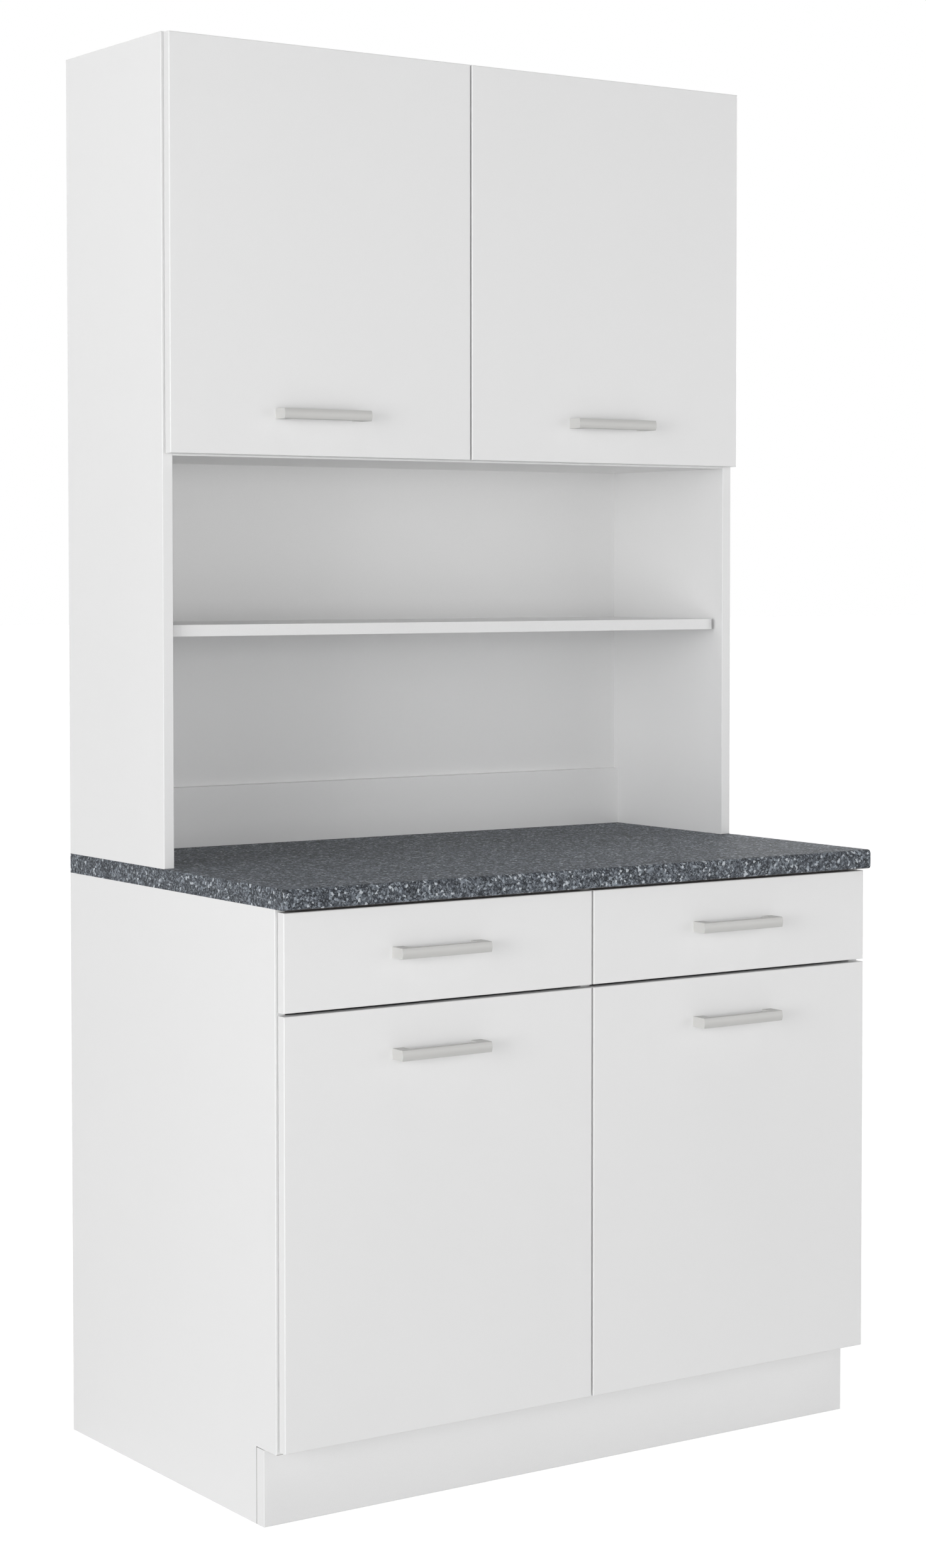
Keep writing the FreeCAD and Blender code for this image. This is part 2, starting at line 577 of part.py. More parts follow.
def door(level, side, face, carcass_front, bottom, tall, handle_middle):
    label = f"{level}_door_{side}"
    bores = []
    cups = []
    low = f"{bottom} + cup_from_end"
    high = f"{bottom} + {tall} - cup_from_end"
    for end, middle in (("low", low), ("high", high)):
        name = f"{level}_{side}_{end}_hinge"
        bores.append(bore(name + "_bore", f"{SIDES[side]} * ({DOOR_EDGE} - cup_centre)",
                          f"{face} - panel + cup_depth", middle, "cup_width", "cup_depth"))
        cups.extend(hinge_cup(name, side, face, middle))
        arms.append(hinge_arm(name + "_arm", side, face, carcass_front, middle))
        plates.append(hinge_plate(name + "_plate", side, carcass_front, middle))
    keep(cut(label, front_panel(label, side, face, bottom, tall), bores), label)
    keep(group(f"{level}_hinge_cups_{side}", cups), f"{level}_hinge_cups_{side}")
    handle(f"{level}_handle_{side}", side, face, handle_middle)


for side in SIDES:
    door("lower", side, BASE_FACE, "base_depth", LOWER_BOTTOM, LOWER_HEIGHT,
         f"{LOWER_BOTTOM} + {LOWER_HEIGHT} - lower_handle_drop")
    door("upper", side, HUTCH_FACE, "hutch_depth", UPPER_BOTTOM, UPPER_HEIGHT,
         f"{UPPER_BOTTOM} + upper_handle_rise")
keep(group("hinge_arms", arms), "hinge_arms")
keep(group("hinge_plates", plates), "hinge_plates")

# Drawers on two-member runners
BOX_HALF = f"({BAY} / 2 - runner_space)"
BOX_BOTTOM = f"({DRAWER_BOTTOM} + drawer_lift)"
BOX_FRONT = "(base_depth + door_gap)"
BOX_LENGTH = f"({BOX_FRONT} - drawer_rear_room)"
RUNNER_LENGTH = "(base_depth - runner_setback - runner_rear_room)"
GROOVE_BOTTOM = f"({BOX_BOTTOM} + groove_lift)"
GROOVE_HEIGHT = "back_thickness + groove_slack"
TRAY_HALF = f"({BOX_HALF} - drawer_board + groove_depth)"
INNER_RUNNER_HEIGHT = "(runner_height - 2 * runner_gauge - 2 * runner_play)"


def runner(name, x, toward, reach, height, length, front):
    """A channel: an upright web with a flange at its top and bottom, which point along x."""
    half = f"({height}) / 2"
    lip = f"{toward} * ({reach})"
    web = f"{toward} * runner_gauge"
    body = new_body(name)
    section = outline(body, name + "_section", "XZ_Plane", [
        ("0", f"-{half}"), (lip, f"-{half}"), (lip, f"-{half} + runner_gauge"),
        (web, f"-{half} + runner_gauge"), (web, f"{half} - runner_gauge"),
        (lip, f"{half} - runner_gauge"), (lip, half), ("0", half)])
    extrude(body, "Pad", name + "_channel", section, length)
    place(body, x, f"{front} - {length}", f"{BOX_BOTTOM} + drawer_height / 2")
    return body


carcass_runners = []
for side, way in SIDES.items():
    drawer = f"drawer_{side}"
    centre = f"{way} * {BAY_CENTRE}"
    groove = board(drawer + "_front_groove", f"{centre} - {TRAY_HALF}", f"{BOX_FRONT} + groove_depth",
                   GROOVE_BOTTOM, f"2 * {TRAY_HALF}", "groove_depth", GROOVE_HEIGHT)
    panel = front_panel(drawer + "_front", side, BASE_FACE, DRAWER_BOTTOM, "drawer_front_height")
    keep(cut(drawer + "_front", panel, [groove]), drawer + "_front")
    handle(drawer + "_handle", side, BASE_FACE, f"{DRAWER_BOTTOM} + drawer_handle_rise")

    walls = []
    members = []
    for name, toward in ((drawer + "_left", "1"), (drawer + "_right", "-1")):
        outer = f"{centre} - {toward} * {BOX_HALF}"
        left = outer if toward == "1" else f"{outer} - drawer_board"
        slot = f"{left} + drawer_board - groove_depth" if toward == "1" else left
        wall = board(name + "_wall", left, BOX_FRONT, BOX_BOTTOM, "drawer_board", BOX_LENGTH, "drawer_height")
        groove = board(name + "_groove", slot, BOX_FRONT, GROOVE_BOTTOM, "groove_depth", BOX_LENGTH,
                       GROOVE_HEIGHT)
        walls.append(cut(name + "_side", wall, [groove]))
        members.append(runner(name + "_runner", outer, f"-({toward})", "runner_space - 2 * runner_gauge",
                              INNER_RUNNER_HEIGHT, BOX_LENGTH, BOX_FRONT))
        carcass_runners.append(runner(name + "_carcass_runner", f"{centre} - {toward} * {BAY} / 2", toward,
                                      "runner_flange", "runner_height", RUNNER_LENGTH,
                                      "(base_depth - runner_setback)"))
    keep(group(drawer + "_sides", walls), drawer + "_sides")
    keep(group(drawer + "_runners", members), drawer + "_runners")
    keep(board(drawer + "_back", f"{centre} - {BOX_HALF} + drawer_board", "drawer_rear_room + drawer_board",
               f"{GROOVE_BOTTOM} + back_thickness", f"2 * ({BOX_HALF} - drawer_board)", "drawer_board",
               "drawer_height - groove_lift - back_thickness"), drawer + "_back")
    keep(board(drawer + "_bottom", f"{centre} - {TRAY_HALF}", f"{BOX_FRONT} + groove_depth", GROOVE_BOTTOM,
               f"2 * {TRAY_HALF}", f"{BOX_LENGTH} + groove_depth", "back_thickness"), drawer + "_bottom")
keep(group("carcass_runners", carcass_runners), "carcass_runners")

# Check, then write one file for each sub-part
doc.recompute()
for item in doc.Objects:
    if "Invalid" in item.State or "Error" in item.State:
        raise RuntimeError(f"{item.Label} is in state {item.State}")
for piece in pieces:
    if piece.Shape.isNull() or not piece.Shape.isValid():
        raise RuntimeError(f"{piece.Label} has no valid shape")
os.makedirs("parts", exist_ok=True)
for piece in pieces:
    piece.Shape.exportStep(f"parts/{piece.Label}.step")
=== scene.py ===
"""Kitchen buffet: finishes, small fasteners, light and camera over the solid model. Metres throughout."""
import json
import math
import bmesh
import bpy
from mathutils import Matrix, Vector


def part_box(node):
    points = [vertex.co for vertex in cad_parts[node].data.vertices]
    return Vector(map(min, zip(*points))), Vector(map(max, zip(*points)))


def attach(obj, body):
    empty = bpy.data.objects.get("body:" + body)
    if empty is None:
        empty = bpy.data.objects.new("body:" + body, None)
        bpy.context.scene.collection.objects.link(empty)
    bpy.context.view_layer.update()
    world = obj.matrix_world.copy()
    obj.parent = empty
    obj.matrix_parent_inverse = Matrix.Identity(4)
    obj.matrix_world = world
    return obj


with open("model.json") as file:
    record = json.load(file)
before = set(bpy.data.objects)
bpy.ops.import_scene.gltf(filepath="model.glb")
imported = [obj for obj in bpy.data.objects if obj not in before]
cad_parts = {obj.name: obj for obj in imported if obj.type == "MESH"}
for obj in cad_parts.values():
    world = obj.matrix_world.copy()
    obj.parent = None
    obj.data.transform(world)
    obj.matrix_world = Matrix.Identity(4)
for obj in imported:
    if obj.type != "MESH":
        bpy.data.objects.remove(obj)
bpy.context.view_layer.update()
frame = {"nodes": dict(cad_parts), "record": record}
nodes = frame["nodes"]
SIDES = {"left": -1, "right": 1}

# A face looks along an axis when its normal's share of that axis is above this
FACING_LIMIT = 0.8


# Node tree helpers
class Finish:
    """A material under construction, with a short way to add and join nodes."""

    def __init__(self, name):
        self.material = bpy.data.materials.new(name)
        self.material.use_nodes = True
        self.tree = self.material.node_tree
        self.shader = self.tree.nodes["Principled BSDF"]
        self.place = self.add("TexCoord").outputs["Object"]

    def add(self, kind, **settings):
        node = self.tree.nodes.new("ShaderNode" + kind)
        for name, value in settings.items():
            setattr(node, name, value)
        return node

    def join(self, socket, value):
        """A link where value is a socket, and a constant otherwise."""
        if isinstance(value, bpy.types.NodeSocket):
            self.tree.links.new(value, socket)
        else:
            socket.default_value = value

    def surface(self, **values):
        for name, value in values.items():
            label = name.replace("_", " ").title().replace("Ior", "IOR")
            self.join(self.shader.inputs[label], value)

    def stretched(self, x, y, z):
        node = self.add("Mapping")
        self.join(node.inputs["Vector"], self.place)
        node.inputs["Scale"].default_value = (x, y, z)
        return node.outputs["Vector"]

    def noise(self, scale, detail=2.0, roughness=0.5, place=None, output="Fac"):
        node = self.add("TexNoise")
        self.join(node.inputs["Vector"], place or self.place)
        node.inputs["Scale"].default_value = scale
        node.inputs["Detail"].default_value = detail
        node.inputs["Roughness"].default_value = roughness
        return node.outputs[output]

    def cells(self, scale, channel="Red", place=None):
        """One random value for each cell; the channels give values that don't depend on each other."""
        node = self.add("TexVoronoi")
        self.join(node.inputs["Vector"], place or self.place)
        node.inputs["Scale"].default_value = scale
        split = self.add("SeparateColor")
        self.join(split.inputs["Color"], node.outputs["Color"])
        return split.outputs[channel]

    def ramp(self, value, *stops):
        node = self.add("ValToRGB")
        marks = node.color_ramp.elements
        while len(marks) < len(stops):
            marks.new(0.5)
        for mark, (position, colour) in zip(marks, stops):
            mark.position = position
            mark.color = (*colour, 1.0)
        self.join(node.inputs["Fac"], value)
        return node.outputs["Color"]

    def span(self, value, low, high, start=0.0, end=1.0):
        node = self.add("MapRange")
        self.join(node.inputs["Value"], value)
        node.inputs["From Min"].default_value = start
        node.inputs["From Max"].default_value = end
        node.inputs["To Min"].default_value = low
        node.inputs["To Max"].default_value = high
        return node.outputs["Result"]

    def math(self, operation, first, second):
        node = self.add("Math", operation=operation)
        self.join(node.inputs[0], first)
        self.join(node.inputs[1], second)
        return node.outputs["Value"]

    def mix(self, share, first, second, blend="MIX"):
        node = self.add("Mix", data_type="RGBA", blend_type=blend)
        self.join(node.inputs["Factor"], share)
        self.join(node.inputs["A"], first)
        self.join(node.inputs["B"], second)
        return node.outputs["Result"]

    def bump(self, height, depth):
        node = self.add("Bump")
        self.join(node.inputs["Height"], height)
        node.inputs["Distance"].default_value = depth
        node.inputs["Strength"].default_value = 1.0
        self.join(self.shader.inputs["Normal"], node.outputs["Normal"])

    def facing(self, axis, way):
        """1 on faces that look along an axis of the board, and 0 elsewhere."""
        split = self.add("SeparateXYZ")
        self.join(split.inputs["Vector"], self.add("TexCoord").outputs["Normal"])
        turned = self.math("MULTIPLY", split.outputs[axis], float(way))
        return self.math("GREATER_THAN", turned, FACING_LIMIT)

    def front_below(self, height):
        """1 on faces under a height that look forwards, and 0 elsewhere."""
        split = self.add("SeparateXYZ")
        self.join(split.inputs["Vector"], self.place)
        low = self.math("LESS_THAN", split.outputs["Z"], height)
        return self.math("MULTIPLY", low, self.facing("Y", -1))


def tint(colour, share):
    return tuple(min(1.0, part * share) for part in colour)


# Colours of board cores, as seen on raw edges
def chipboard(finish):
    chips_per_metre = 520.0
    patches_per_metre = 160.0
    flat_chips = finish.stretched(1.0, 1.0, 1.7)
    chips = finish.cells(chips_per_metre, place=flat_chips)
    patches = finish.noise(patches_per_metre, detail=4.0)
    tone = finish.ramp(chips, (0.0, (0.30, 0.19, 0.10)), (0.45, (0.46, 0.32, 0.18)),
                       (1.0, (0.62, 0.47, 0.30)))
    patch_tone = finish.ramp(patches, (0.3, (0.33, 0.21, 0.11)), (0.7, (0.58, 0.43, 0.27)))
    return finish.mix(0.35, tone, patch_tone)


def fibreboard(finish):
    fibres_per_metre = 900.0
    blotches_per_metre = 14.0
    along_the_board = finish.stretched(0.35, 1.0, 1.0)
    fibres = finish.noise(fibres_per_metre, detail=5.0, place=along_the_board)
    blotches = finish.noise(blotches_per_metre, detail=3.0)
    tone = finish.ramp(fibres, (0.25, (0.20, 0.125, 0.07)), (0.75, (0.36, 0.24, 0.145)))
    blotch_tone = finish.ramp(blotches, (0.3, (0.23, 0.15, 0.085)), (0.7, (0.33, 0.22, 0.13)))
    return finish.mix(0.3, tone, blotch_tone)


# Finishes
def board_finish(name, colour, core=None, axis="Y", way=1, rough=(0.40, 0.50), grain=0.00002, notch=0.0):
    """White-faced board: a fine pearl texture, faint tone changes, and a raw core on one side.

    Below the height of a notch, the edge that looks forwards is the core painted over in dark grey, which
    is painted shade for the gap in front of it.
    """
    pearls_per_metre = 950.0
    clouds_per_metre = 3.5
    raw_roughness = 0.85
    painted_shade_share = 0.85
    painted_gap_shade_grey = (0.05, 0.05, 0.05, 1.0)
    finish = Finish(name)
    pearl = finish.noise(pearls_per_metre, detail=3.0, roughness=0.6)
    broad = finish.noise(clouds_per_metre, detail=3.0)
    face = finish.ramp(broad, (0.3, tint(colour, 0.985)), (0.7, tint(colour, 1.01)))
    specks = finish.ramp(pearl, (0.32, tint(colour, 0.965)), (0.5, colour), (0.68, tint(colour, 1.015)))
    face = finish.mix(0.5, face, specks)
    unevenness = finish.math("ADD", broad, finish.math("MULTIPLY", pearl, 0.4))
    dull = finish.span(unevenness, *rough, start=0.4, end=1.0)
    if core:
        raw = finish.facing(axis, way)
        bare_core = core(finish)
        face = finish.mix(raw, face, bare_core)
        if notch:
            # Painted shade: the forward edge below the notch is darkened nearly to black grey, standing in
            # for the shade of the gap before it.
            painted_shade_mask = finish.front_below(notch)
            face = finish.mix(painted_shade_mask, face, finish.mix(painted_shade_share, bare_core, painted_gap_shade_grey))
            raw = finish.math("MAXIMUM", raw, painted_shade_mask)
        dull = finish.math("MAXIMUM", dull, finish.math("MULTIPLY", raw, raw_roughness))
    finish.surface(base_color=face, roughness=dull, specular_ior_level=0.4)
    finish.bump(pearl, grain)
    return finish.material


def granite_finish(name):
    """Granite-effect laminate: dark and blue-grey grains and pale flecks, a raw back, and a backing-paper
    underside whose near-black tone is partly painted shade for the gap under the front.
    """
    grains_per_metre = 330.0
    dust_per_metre = 680.0
    flecks_per_metre = 285.0
    clusters_per_metre = 75.0
    clouds_per_metre = 9.0
    bends_per_metre = 380.0
    bend_length = 0.0022
    fleck_limit = 0.955
    raw_roughness = 0.8
    pale_tone = (0.62, 0.66, 0.70, 1.0)
    finish = Finish(name)
    shift = finish.add("VectorMath", operation="SCALE")
    finish.join(shift.inputs[0], finish.noise(bends_per_metre, output="Color"))
    shift.inputs["Scale"].default_value = bend_length
    bent = finish.add("VectorMath", operation="ADD")
    finish.join(bent.inputs[0], finish.place)
    finish.join(bent.inputs[1], shift.outputs["Vector"])
    bent = bent.outputs["Vector"]
    grains = finish.cells(grains_per_metre, place=bent)
    fine = finish.cells(dust_per_metre, "Green", place=bent)
    flecks = finish.cells(flecks_per_metre, "Blue", place=bent)
    clusters = finish.noise(clusters_per_metre)
    clouds = finish.noise(clouds_per_metre, detail=3.0)
    tone = finish.ramp(grains, (0.0, (0.012, 0.013, 0.016)), (0.34, (0.033, 0.037, 0.044)),
                       (0.60, (0.086, 0.096, 0.112)), (0.82, (0.182, 0.204, 0.231)),
                       (0.97, (0.395, 0.44, 0.485)))
    dust = finish.ramp(fine, (0.0, (0.011, 0.012, 0.015)), (0.48, (0.055, 0.062, 0.073)),
                       (0.80, (0.161, 0.180, 0.206)), (0.97, (0.425, 0.46, 0.495)))
    tone = finish.mix(0.42, tone, dust)
    tone = finish.mix(1.0, tone, finish.span(clusters, 0.70, 1.30, start=0.3, end=0.7), "MULTIPLY")
    pale = finish.math("GREATER_THAN", flecks, fleck_limit)
    tone = finish.mix(finish.math("MULTIPLY", pale, 0.75), tone, pale_tone)
    shade = finish.ramp(clouds, (0.3, (0.72, 0.72, 0.74)), (0.7, (1.0, 1.0, 1.0)))
    tone = finish.mix(0.35, tone, shade, "MULTIPLY")
    paper = finish.facing("Z", -1)
    raw = finish.facing("Y", 1)
    pulp = finish.noise(220.0, detail=4.0)
    # The underside is backing paper; its near-black tone is painted shade, standing in for the dark gap
    # under the worktop's front.
    backing_with_painted_shade = finish.ramp(pulp, (0.3, (0.045, 0.040, 0.036)), (0.7, (0.070, 0.062, 0.055)))
    tone = finish.mix(paper, tone, backing_with_painted_shade)
    tone = finish.mix(raw, tone, chipboard(finish))
    hammered = finish.noise(620.0)
    dull = finish.span(hammered, 0.46, 0.60, start=0.3, end=0.7)
    bare = finish.math("MAXIMUM", paper, raw)
    dull = finish.math("MAXIMUM", dull, finish.math("MULTIPLY", bare, raw_roughness))
    finish.surface(base_color=tone, roughness=dull, specular_ior_level=0.14)
    finish.bump(hammered, 0.00006)
    return finish.material


def metal_finish(name, colour, rough, lines, grain, mottle=0.0, metallic=1.0, painted_end_light=1.0):
    """Brushed or plated metal: fine lines along one way, faint patches, and end faces made paler or darker
    by a factor, which is painted light.

    lines is the number of lines per metre along each axis, and grain their depth.
    """
    spangles_per_metre = 140.0
    patches_per_metre = 18.0
    plain_spread = 0.03
    finish = Finish(name)
    brushed = finish.noise(1.0, detail=3.0, place=finish.stretched(*lines))
    patches = finish.cells(spangles_per_metre) if mottle else finish.noise(patches_per_metre, detail=3.0)
    spread = mottle or plain_spread
    tone = finish.ramp(patches, (0.1, tint(colour, 1.0 - spread)), (0.9, tint(colour, 1.0 + spread)))
    line_tone = finish.ramp(brushed, (0.3, tint(colour, 0.93)), (0.7, tint(colour, 1.05)))
    tone = finish.mix(0.4, tone, line_tone)
    # Painted highlight: faces that look along X are multiplied by the end factor, so above 1 they stand in
    # for light falling on the ends.
    painted_end_light_mask = finish.math("MAXIMUM", finish.facing("X", -1), finish.facing("X", 1))
    tone = finish.mix(painted_end_light_mask, tone, finish.mix(1.0, tone, (painted_end_light, painted_end_light, painted_end_light, 1.0), "MULTIPLY"))
    dull = finish.span(brushed, rough * 0.85, rough * 1.15, start=0.3, end=0.7)
    finish.surface(base_color=tone, metallic=metallic, roughness=dull)
    finish.bump(brushed, grain)
    return finish.material


WHITE = (0.80, 0.80, 0.80)
OFF_WHITE = tint(WHITE, 0.97)
FOIL_WHITE = tint(WHITE, 0.98)
NICKEL_CASTING = (0.487, 0.485, 0.474)
NICKEL_PLATE = (0.70, 0.69, 0.66)
ZINC_SHEET = (0.62, 0.63, 0.64)
ZINC_FITTING = (0.62, 0.62, 0.62)
TOE_NOTCH_HEIGHT = 0.1045
finishes = {
    "carcass_board": board_finish("white_carcass_board", WHITE, core=chipboard),
    "front_board": board_finish("white_front_board", WHITE, rough=(0.34, 0.44)),
    "thin_board": board_finish("white_fibreboard", OFF_WHITE, core=fibreboard, rough=(0.45, 0.55)),
    "drawer_board": board_finish("white_drawer_foil", FOIL_WHITE, rough=(0.42, 0.52), grain=0.00003),
    "worktop_laminate": granite_finish("granite_laminate"),
    # The handle ends are made 1.24 times paler, which is a painted highlight.
    "handle_metal": metal_finish("satin_nickel", NICKEL_CASTING, rough=0.48, lines=(60.0, 2600.0, 2600.0),
                                 grain=0.000012, metallic=0.25, painted_end_light=1.24),
    "hinge_steel": metal_finish("nickel_plate", NICKEL_PLATE, rough=0.24, lines=(900.0, 900.0, 300.0),
                                grain=0.000008),
    "runner_steel": metal_finish("zinc_sheet", ZINC_SHEET, rough=0.34, lines=(900.0, 40.0, 900.0),
                                 grain=0.000010, mottle=0.06),
    "fitting_steel": metal_finish("zinc_fitting", ZINC_FITTING, rough=0.30, lines=(500.0, 500.0, 500.0),
                                  grain=0.000010, mottle=0.05),
}
notch_shade_finish = board_finish("white_board_painted_notch_shade", WHITE, core=chipboard, notch=TOE_NOTCH_HEIGHT)
tray_finish = board_finish("white_drawer_bottom", OFF_WHITE, core=fibreboard, axis="Z", way=-1,
                           rough=(0.45, 0.55))
slots = {part["node"]: part["material_slot"] for part in frame["record"]["subparts"]}
for name, item in nodes.items():
    material = finishes[slots[name]]
    if name.endswith("_bottom"):
        material = tray_finish
    if name.startswith("base_side"):
        material = notch_shade_finish
    item.data.materials.clear()
    item.data.materials.append(material)


# Small fasteners
def standing_on(at, outward):
    """The placement of a head on a face: its foot at a point, and its axis outwards."""
    turn = Vector(outward).to_track_quat("Z", "Y").to_matrix().to_4x4()
    return Matrix.Translation(Vector(at)) @ turn


def turned_form(mesh, spot, radius, height, profile, count):
    """Rings of points after a profile of shares of radius and height, closed below; gives the last ring."""
    rings = []
    for share, level in profile:
        ring = []
        for step in range(count):
            angle = 2 * math.pi * step / count
            reach = radius * share
            point = Vector((math.cos(angle) * reach, math.sin(angle) * reach, level * height))
            ring.append(mesh.verts.new(spot @ point))
        rings.append(ring)
    for low, high in zip(rings, rings[1:]):
        for step in range(count):
            after = (step + 1) % count
            mesh.faces.new((low[step], low[after], high[after], high[step]))
    mesh.faces.new(list(reversed(rings[0])))
    return rings[-1]


SCREW_PROFILE = ((1.0, 0.0), (1.0, 0.35), (0.90, 0.74), (0.66, 1.0))
SCREW_POINTS = 20
RECESS_REACH = 0.46
RECESS_HALF_WIDTH = 0.11
RECESS_FLOOR = 0.4
NAIL_PROFILE = ((1.0, 0.0), (0.92, 0.55), (0.55, 0.92))
NAIL_POINTS = 12


def screw_head(mesh, at, outward, radius, height):
    """A domed head with a cross recess, standing on a face at a point."""
    spot = standing_on(at, outward)
    rim = turned_form(mesh, spot, radius, height, SCREW_PROFILE, SCREW_POINTS)
    arm = RECESS_REACH * radius
    half = RECESS_HALF_WIDTH * radius
    quarter = [(arm, -half), (arm, half), (half, half)]
    cross = []
    for step in range(4):
        spin = Matrix.Rotation(math.pi / 2 * step, 2)
        cross.extend(spin @ Vector(corner) for corner in quarter)
    lip = [mesh.verts.new(spot @ Vector((*corner, height))) for corner in cross]
    sink = [mesh.verts.new(spot @ Vector((*corner, height * RECESS_FLOOR))) for corner in cross]
    edges = []
    for loop in (rim, lip):
        for step, vert in enumerate(loop):
            after = loop[(step + 1) % len(loop)]
            edges.append(mesh.edges.get((vert, after)) or mesh.edges.new((vert, after)))
    bmesh.ops.triangle_fill(mesh, edges=edges, use_beauty=True, normal=Vector(outward))
    for step in range(len(lip)):
        after = (step + 1) % len(lip)
        mesh.faces.new((lip[step], sink[step], sink[after], lip[after]))
    mesh.faces.new(sink)


def nail_head(mesh, at, outward, radius, height):
    """A low domed nail head."""
    rim = turned_form(mesh, standing_on(at, outward), radius, height, NAIL_PROFILE, NAIL_POINTS)
    mesh.faces.new(rim)


def fasteners(name, body, slot, heads, maker=screw_head):
    """One piece from many heads: (point, outward direction, radius, height)."""
    mesh = bmesh.new()
    for head in heads:
        maker(mesh, *head)
    bmesh.ops.recalc_face_normals(mesh, faces=mesh.faces)
    data = bpy.data.meshes.new(name)
    mesh.to_mesh(data)
    mesh.free()
    piece = bpy.data.objects.new(name, data)
    bpy.context.scene.collection.objects.link(piece)
    data.materials.append(finishes[slot])
    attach(piece, body)


def middle(low, high):
    return (low + high) / 2


def evenly(low, high, steps):
    """Places from low to high in equal steps, with both ends."""
    return [low + (high - low) * step / steps for step in range(steps + 1)]


# Radius and height of each kind of head
HANDLE_SCREW = (0.0042, 0.0020)
HINGE_SCREW = (0.0036, 0.0014)
ARM_SCREW = (0.0034, 0.0012)
RUNNER_SCREW = (0.0036, 0.0014)
SUPPORT_SCREW = (0.0023, 0.0010)
BACK_NAIL = (0.0019, 0.0008)

# Where the heads sit
HANDLE_SPACING = 0.128
CUP_SCREW_SPACING = 0.048
CUP_SCREW_INSET = 0.014
CUP_FROM_END = 0.090
PLATE_THICKNESS = 0.0045
PLATE_SCREW_DEPTH = 0.043
PLATE_SCREW_SPACING = 0.033
ARM_THICKNESS = 0.0020
ARM_SCREW_DEPTHS = (0.027, 0.054)
RUNNER_SHEET = 0.0012
RUNNER_SCREW_FROM_END = 0.035
SHELF_PLAY = 0.001
SUPPORT_SHEET = 0.0015
SUPPORT_FROM_EDGE = 0.037
SUPPORT_SCREW_DROP = 0.0052
NAIL_FROM_SIDE = 0.004
NAIL_FROM_END = 0.008
NAIL_STEPS_ACROSS = 7
NAIL_SPACING = 0.14


def handle_screws(handle, board):
    """The heads of a handle's two screws, on the inner face of its front."""
    low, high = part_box(handle)
    inner_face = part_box(board)[1][1]
    heads = []
    for end in (-1, 1):
        x = middle(low[0], high[0]) + end * HANDLE_SPACING / 2
        heads.append(((x, inner_face, middle(low[2], high[2])), (0, 1, 0), *HANDLE_SCREW))
    return heads


carcass_heads = []
for side, way in SIDES.items():
    for level in ("lower", "upper"):
        door_low, door_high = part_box(f"{level}_door_{side}")
        heads = handle_screws(f"{level}_handle_{side}", f"{level}_door_{side}")
        cup_low, cup_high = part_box(f"{level}_hinge_cups_{side}")
        flange_x = cup_low[0] + CUP_SCREW_INSET if way > 0 else cup_high[0] - CUP_SCREW_INSET
        plate_face = way * (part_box("hinge_plates")[1][0] - PLATE_THICKNESS)
        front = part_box("base_side_left" if level == "lower" else "hutch_side_left")[0][1]
        for z in (door_low[2] + CUP_FROM_END, door_high[2] - CUP_FROM_END):
            for end in (-1, 1):
                at = (flange_x, cup_high[1], z + end * CUP_SCREW_SPACING / 2)
                heads.append((at, (0, 1, 0), *HINGE_SCREW))
                at = (plate_face, front + PLATE_SCREW_DEPTH, z + end * PLATE_SCREW_SPACING / 2)
                carcass_heads.append((at, (-way, 0, 0), *HINGE_SCREW))
            for depth in ARM_SCREW_DEPTHS:
                at = (plate_face - way * ARM_THICKNESS, front + depth, z)
                carcass_heads.append((at, (-way, 0, 0), *ARM_SCREW))
        fasteners(f"{level}_door_{side}_screws", f"{level}_door_{side}", "fitting_steel", heads)
    heads = handle_screws(f"drawer_{side}_handle", f"drawer_{side}_front")
    low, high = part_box(f"drawer_{side}_sides")
    for x, out in ((low[0] - RUNNER_SHEET, -1), (high[0] + RUNNER_SHEET, 1)):
        for y in evenly(low[1] + RUNNER_SCREW_FROM_END, high[1] - RUNNER_SCREW_FROM_END, 2):
            heads.append(((x, y, middle(low[2], high[2])), (out, 0, 0), *RUNNER_SCREW))
    fasteners(f"drawer_{side}_screws", f"drawer_{side}", "fitting_steel", heads)

for level in ("base", "hutch"):
    for side in SIDES:
        low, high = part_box(f"{level}_shelf_{side}")
        for y in (low[1] + SUPPORT_FROM_EDGE, high[1] - SUPPORT_FROM_EDGE):
            for x, out in ((low[0] - SHELF_PLAY, 1), (high[0] + SHELF_PLAY, -1)):
                at = (x + out * SUPPORT_SHEET, y, low[2] - SUPPORT_SCREW_DROP)
                carcass_heads.append((at, (out, 0, 0), *SUPPORT_SCREW))
fasteners("carcass_screws", "carcass", "fitting_steel", carcass_heads)

nails = []
for name in ("base_back", "hutch_back"):
    low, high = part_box(name)
    across = evenly(low[0] + NAIL_FROM_SIDE, high[0] - NAIL_FROM_SIDE, NAIL_STEPS_ACROSS)
    up = evenly(low[2] + NAIL_FROM_END, high[2] - NAIL_FROM_END, round((high[2] - low[2]) / NAIL_SPACING))
    spots = [(x, z) for x in across for z in (up[0], up[-1])]
    spots += [(x, z) for x in (across[0], across[-1]) for z in up[1:-1]]
    nails += [((x, high[1], z), (0, 1, 0), *BACK_NAIL) for x, z in spots]
fasteners("back_nails", "carcass", "fitting_steel", nails, maker=nail_head)


# Floor, backdrop, light and camera
def seen_directly(tree):
    """1 for what the camera sees, also in a reflection or through glass, and 0 for light on the object."""
    path = tree.nodes.new("ShaderNodeLightPath")
    seen = path.outputs["Is Camera Ray"]
    for ray in ("Is Glossy Ray", "Is Transmission Ray"):
        either = tree.nodes.new("ShaderNodeMath")
        either.operation = "MAXIMUM"
        tree.links.new(seen, either.inputs[0])
        tree.links.new(path.outputs[ray], either.inputs[1])
        seen = either.outputs["Value"]
    return seen


FLOOR_REACH = 60.0
FLOOR_DROP = 0.0005
FLOOR_LIFT = 0.66


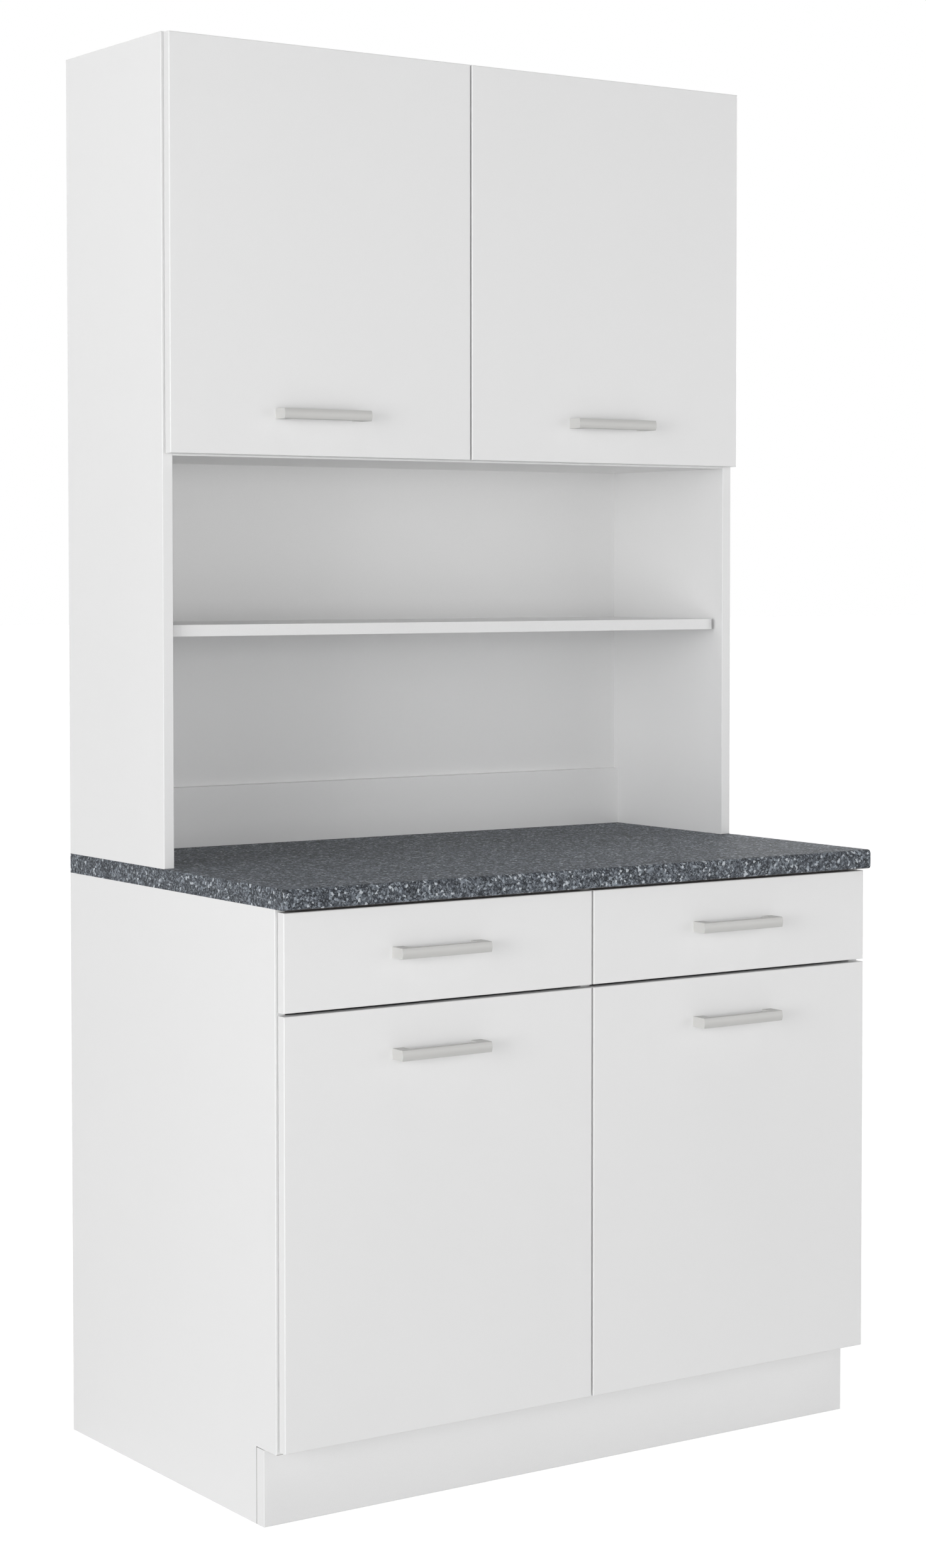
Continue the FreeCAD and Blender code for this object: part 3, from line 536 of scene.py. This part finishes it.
def floor_finish():
    """Pale floor: the camera sees it lifted to white, with the shadows that fall on it."""
    finish = Finish("pale_floor")
    finish.tree.nodes.remove(finish.shader)
    patches = finish.noise(2.0, detail=3.0)
    tone = finish.ramp(patches, (0.3, (0.80, 0.80, 0.80)), (0.7, (0.82, 0.82, 0.82)))
    diffuse = finish.add("BsdfDiffuse")
    finish.join(diffuse.inputs["Color"], tone)
    lift = finish.add("Emission")
    finish.join(lift.inputs["Strength"], finish.math("MULTIPLY", seen_directly(finish.tree), FLOOR_LIFT))
    total = finish.add("AddShader")
    finish.join(total.inputs[0], diffuse.outputs["BSDF"])
    finish.join(total.inputs[1], lift.outputs["Emission"])
    output = finish.tree.nodes["Material Output"]
    finish.join(output.inputs["Surface"], total.outputs["Shader"])
    return finish.material


corners = [(x * FLOOR_REACH, y * FLOOR_REACH, 0.0) for x, y in ((-1, -1), (1, -1), (1, 1), (-1, 1))]
floor_mesh = bpy.data.meshes.new("floor")
floor_mesh.from_pydata(corners, [], [(0, 1, 2, 3)])
floor = bpy.data.objects.new("floor", floor_mesh)
floor.location.z = -FLOOR_DROP
bpy.context.scene.collection.objects.link(floor)
floor_mesh.materials.append(floor_finish())

SKY_LIGHT = 0.10
BACKDROP_WHITE = 1.0


def studio_world():
    """A dim even sky for the object, and a white backdrop for what the camera sees."""
    world = bpy.data.worlds.new("studio")
    world.use_nodes = True
    tree = world.node_tree
    tree.nodes.clear()
    choice = tree.nodes.new("ShaderNodeMixShader")
    tree.links.new(seen_directly(tree), choice.inputs["Fac"])
    for place, strength in ((1, SKY_LIGHT), (2, BACKDROP_WHITE)):
        background = tree.nodes.new("ShaderNodeBackground")
        background.inputs["Color"].default_value = (1.0, 1.0, 1.0, 1.0)
        background.inputs["Strength"].default_value = strength
        tree.links.new(background.outputs["Background"], choice.inputs[place])
    output = tree.nodes.new("ShaderNodeOutputWorld")
    tree.links.new(choice.outputs["Shader"], output.inputs["Surface"])
    return world


bpy.context.scene.world = studio_world()


def softbox(name, at, aim, width, height, power):
    """A soft light at a point, which looks at another point."""
    lamp = bpy.data.lights.new(name, "AREA")
    lamp.shape = "RECTANGLE"
    lamp.size = width
    lamp.size_y = height
    lamp.energy = power
    item = bpy.data.objects.new(name, lamp)
    item.location = at
    item.rotation_euler = (Vector(aim) - Vector(at)).to_track_quat("-Z", "Y").to_euler()
    bpy.context.scene.collection.objects.link(item)


def wide_light(name, azimuth, elevation, spread, power):
    """A broad even light from far off; azimuth 0 stands in front, and negative ones to the left."""
    lamp = bpy.data.lights.new(name, "SUN")
    lamp.angle = math.radians(spread)
    lamp.energy = power
    turn = math.radians(azimuth)
    lift = math.radians(elevation)
    out = Vector((math.sin(turn) * math.cos(lift), -math.cos(turn) * math.cos(lift), math.sin(lift)))
    item = bpy.data.objects.new(name, lamp)
    item.rotation_euler = out.to_track_quat("Z", "Y").to_euler()
    bpy.context.scene.collection.objects.link(item)


softbox("front_fill", at=(-2.6, -6.0, 1.3), aim=(0.0, 0.0, 1.0), width=1.6, height=1.6, power=86.0)
softbox("left_fill", at=(-6.5, -2.6, 1.2), aim=(0.0, 0.0, 1.0), width=2.4, height=2.4, power=131.0)
softbox("left_panel", at=(-5.0, -1.5, 1.4), aim=(0.0, -1.5, 1.4), width=6.0, height=2.7, power=42.0)
softbox("right_panel", at=(3.6, -4.2, 1.4), aim=(0.0, 0.0, 1.4), width=5.0, height=2.7, power=58.0)
wide_light("front_left", azimuth=-67, elevation=16, spread=40, power=0.52)
wide_light("front", azimuth=5, elevation=18, spread=40, power=0.17)
wide_light("above", azimuth=-20, elevation=86, spread=30, power=0.50)
wide_light("right", azimuth=100, elevation=12, spread=30, power=1.2)
wide_light("rear", azimuth=180, elevation=15, spread=30, power=0.8)

# The camera that was fitted to the photograph, in degrees and millimetres of lens
CAMERA_PLACE = (-2.4839, -3.6800, 1.2631)
CAMERA_TILT = 87.743
CAMERA_TURN = -34.663
LENS = 69.64
SENSOR_WIDTH = 36.0
SHIFT_ACROSS = -0.0300
SHIFT_UP = -0.0601
FAR_LIMIT = 200.0
camera_data = bpy.data.cameras.new("camera")
camera_data.sensor_width = SENSOR_WIDTH
camera_data.lens = LENS
camera_data.shift_x = SHIFT_ACROSS
camera_data.shift_y = SHIFT_UP
camera_data.clip_end = FAR_LIMIT
camera = bpy.data.objects.new("camera", camera_data)
camera.location = CAMERA_PLACE
camera.rotation_euler = (math.radians(CAMERA_TILT), 0.0, math.radians(CAMERA_TURN))
bpy.context.scene.collection.objects.link(camera)
bpy.context.scene.camera = camera
bpy.context.scene.view_settings.view_transform = "Standard"
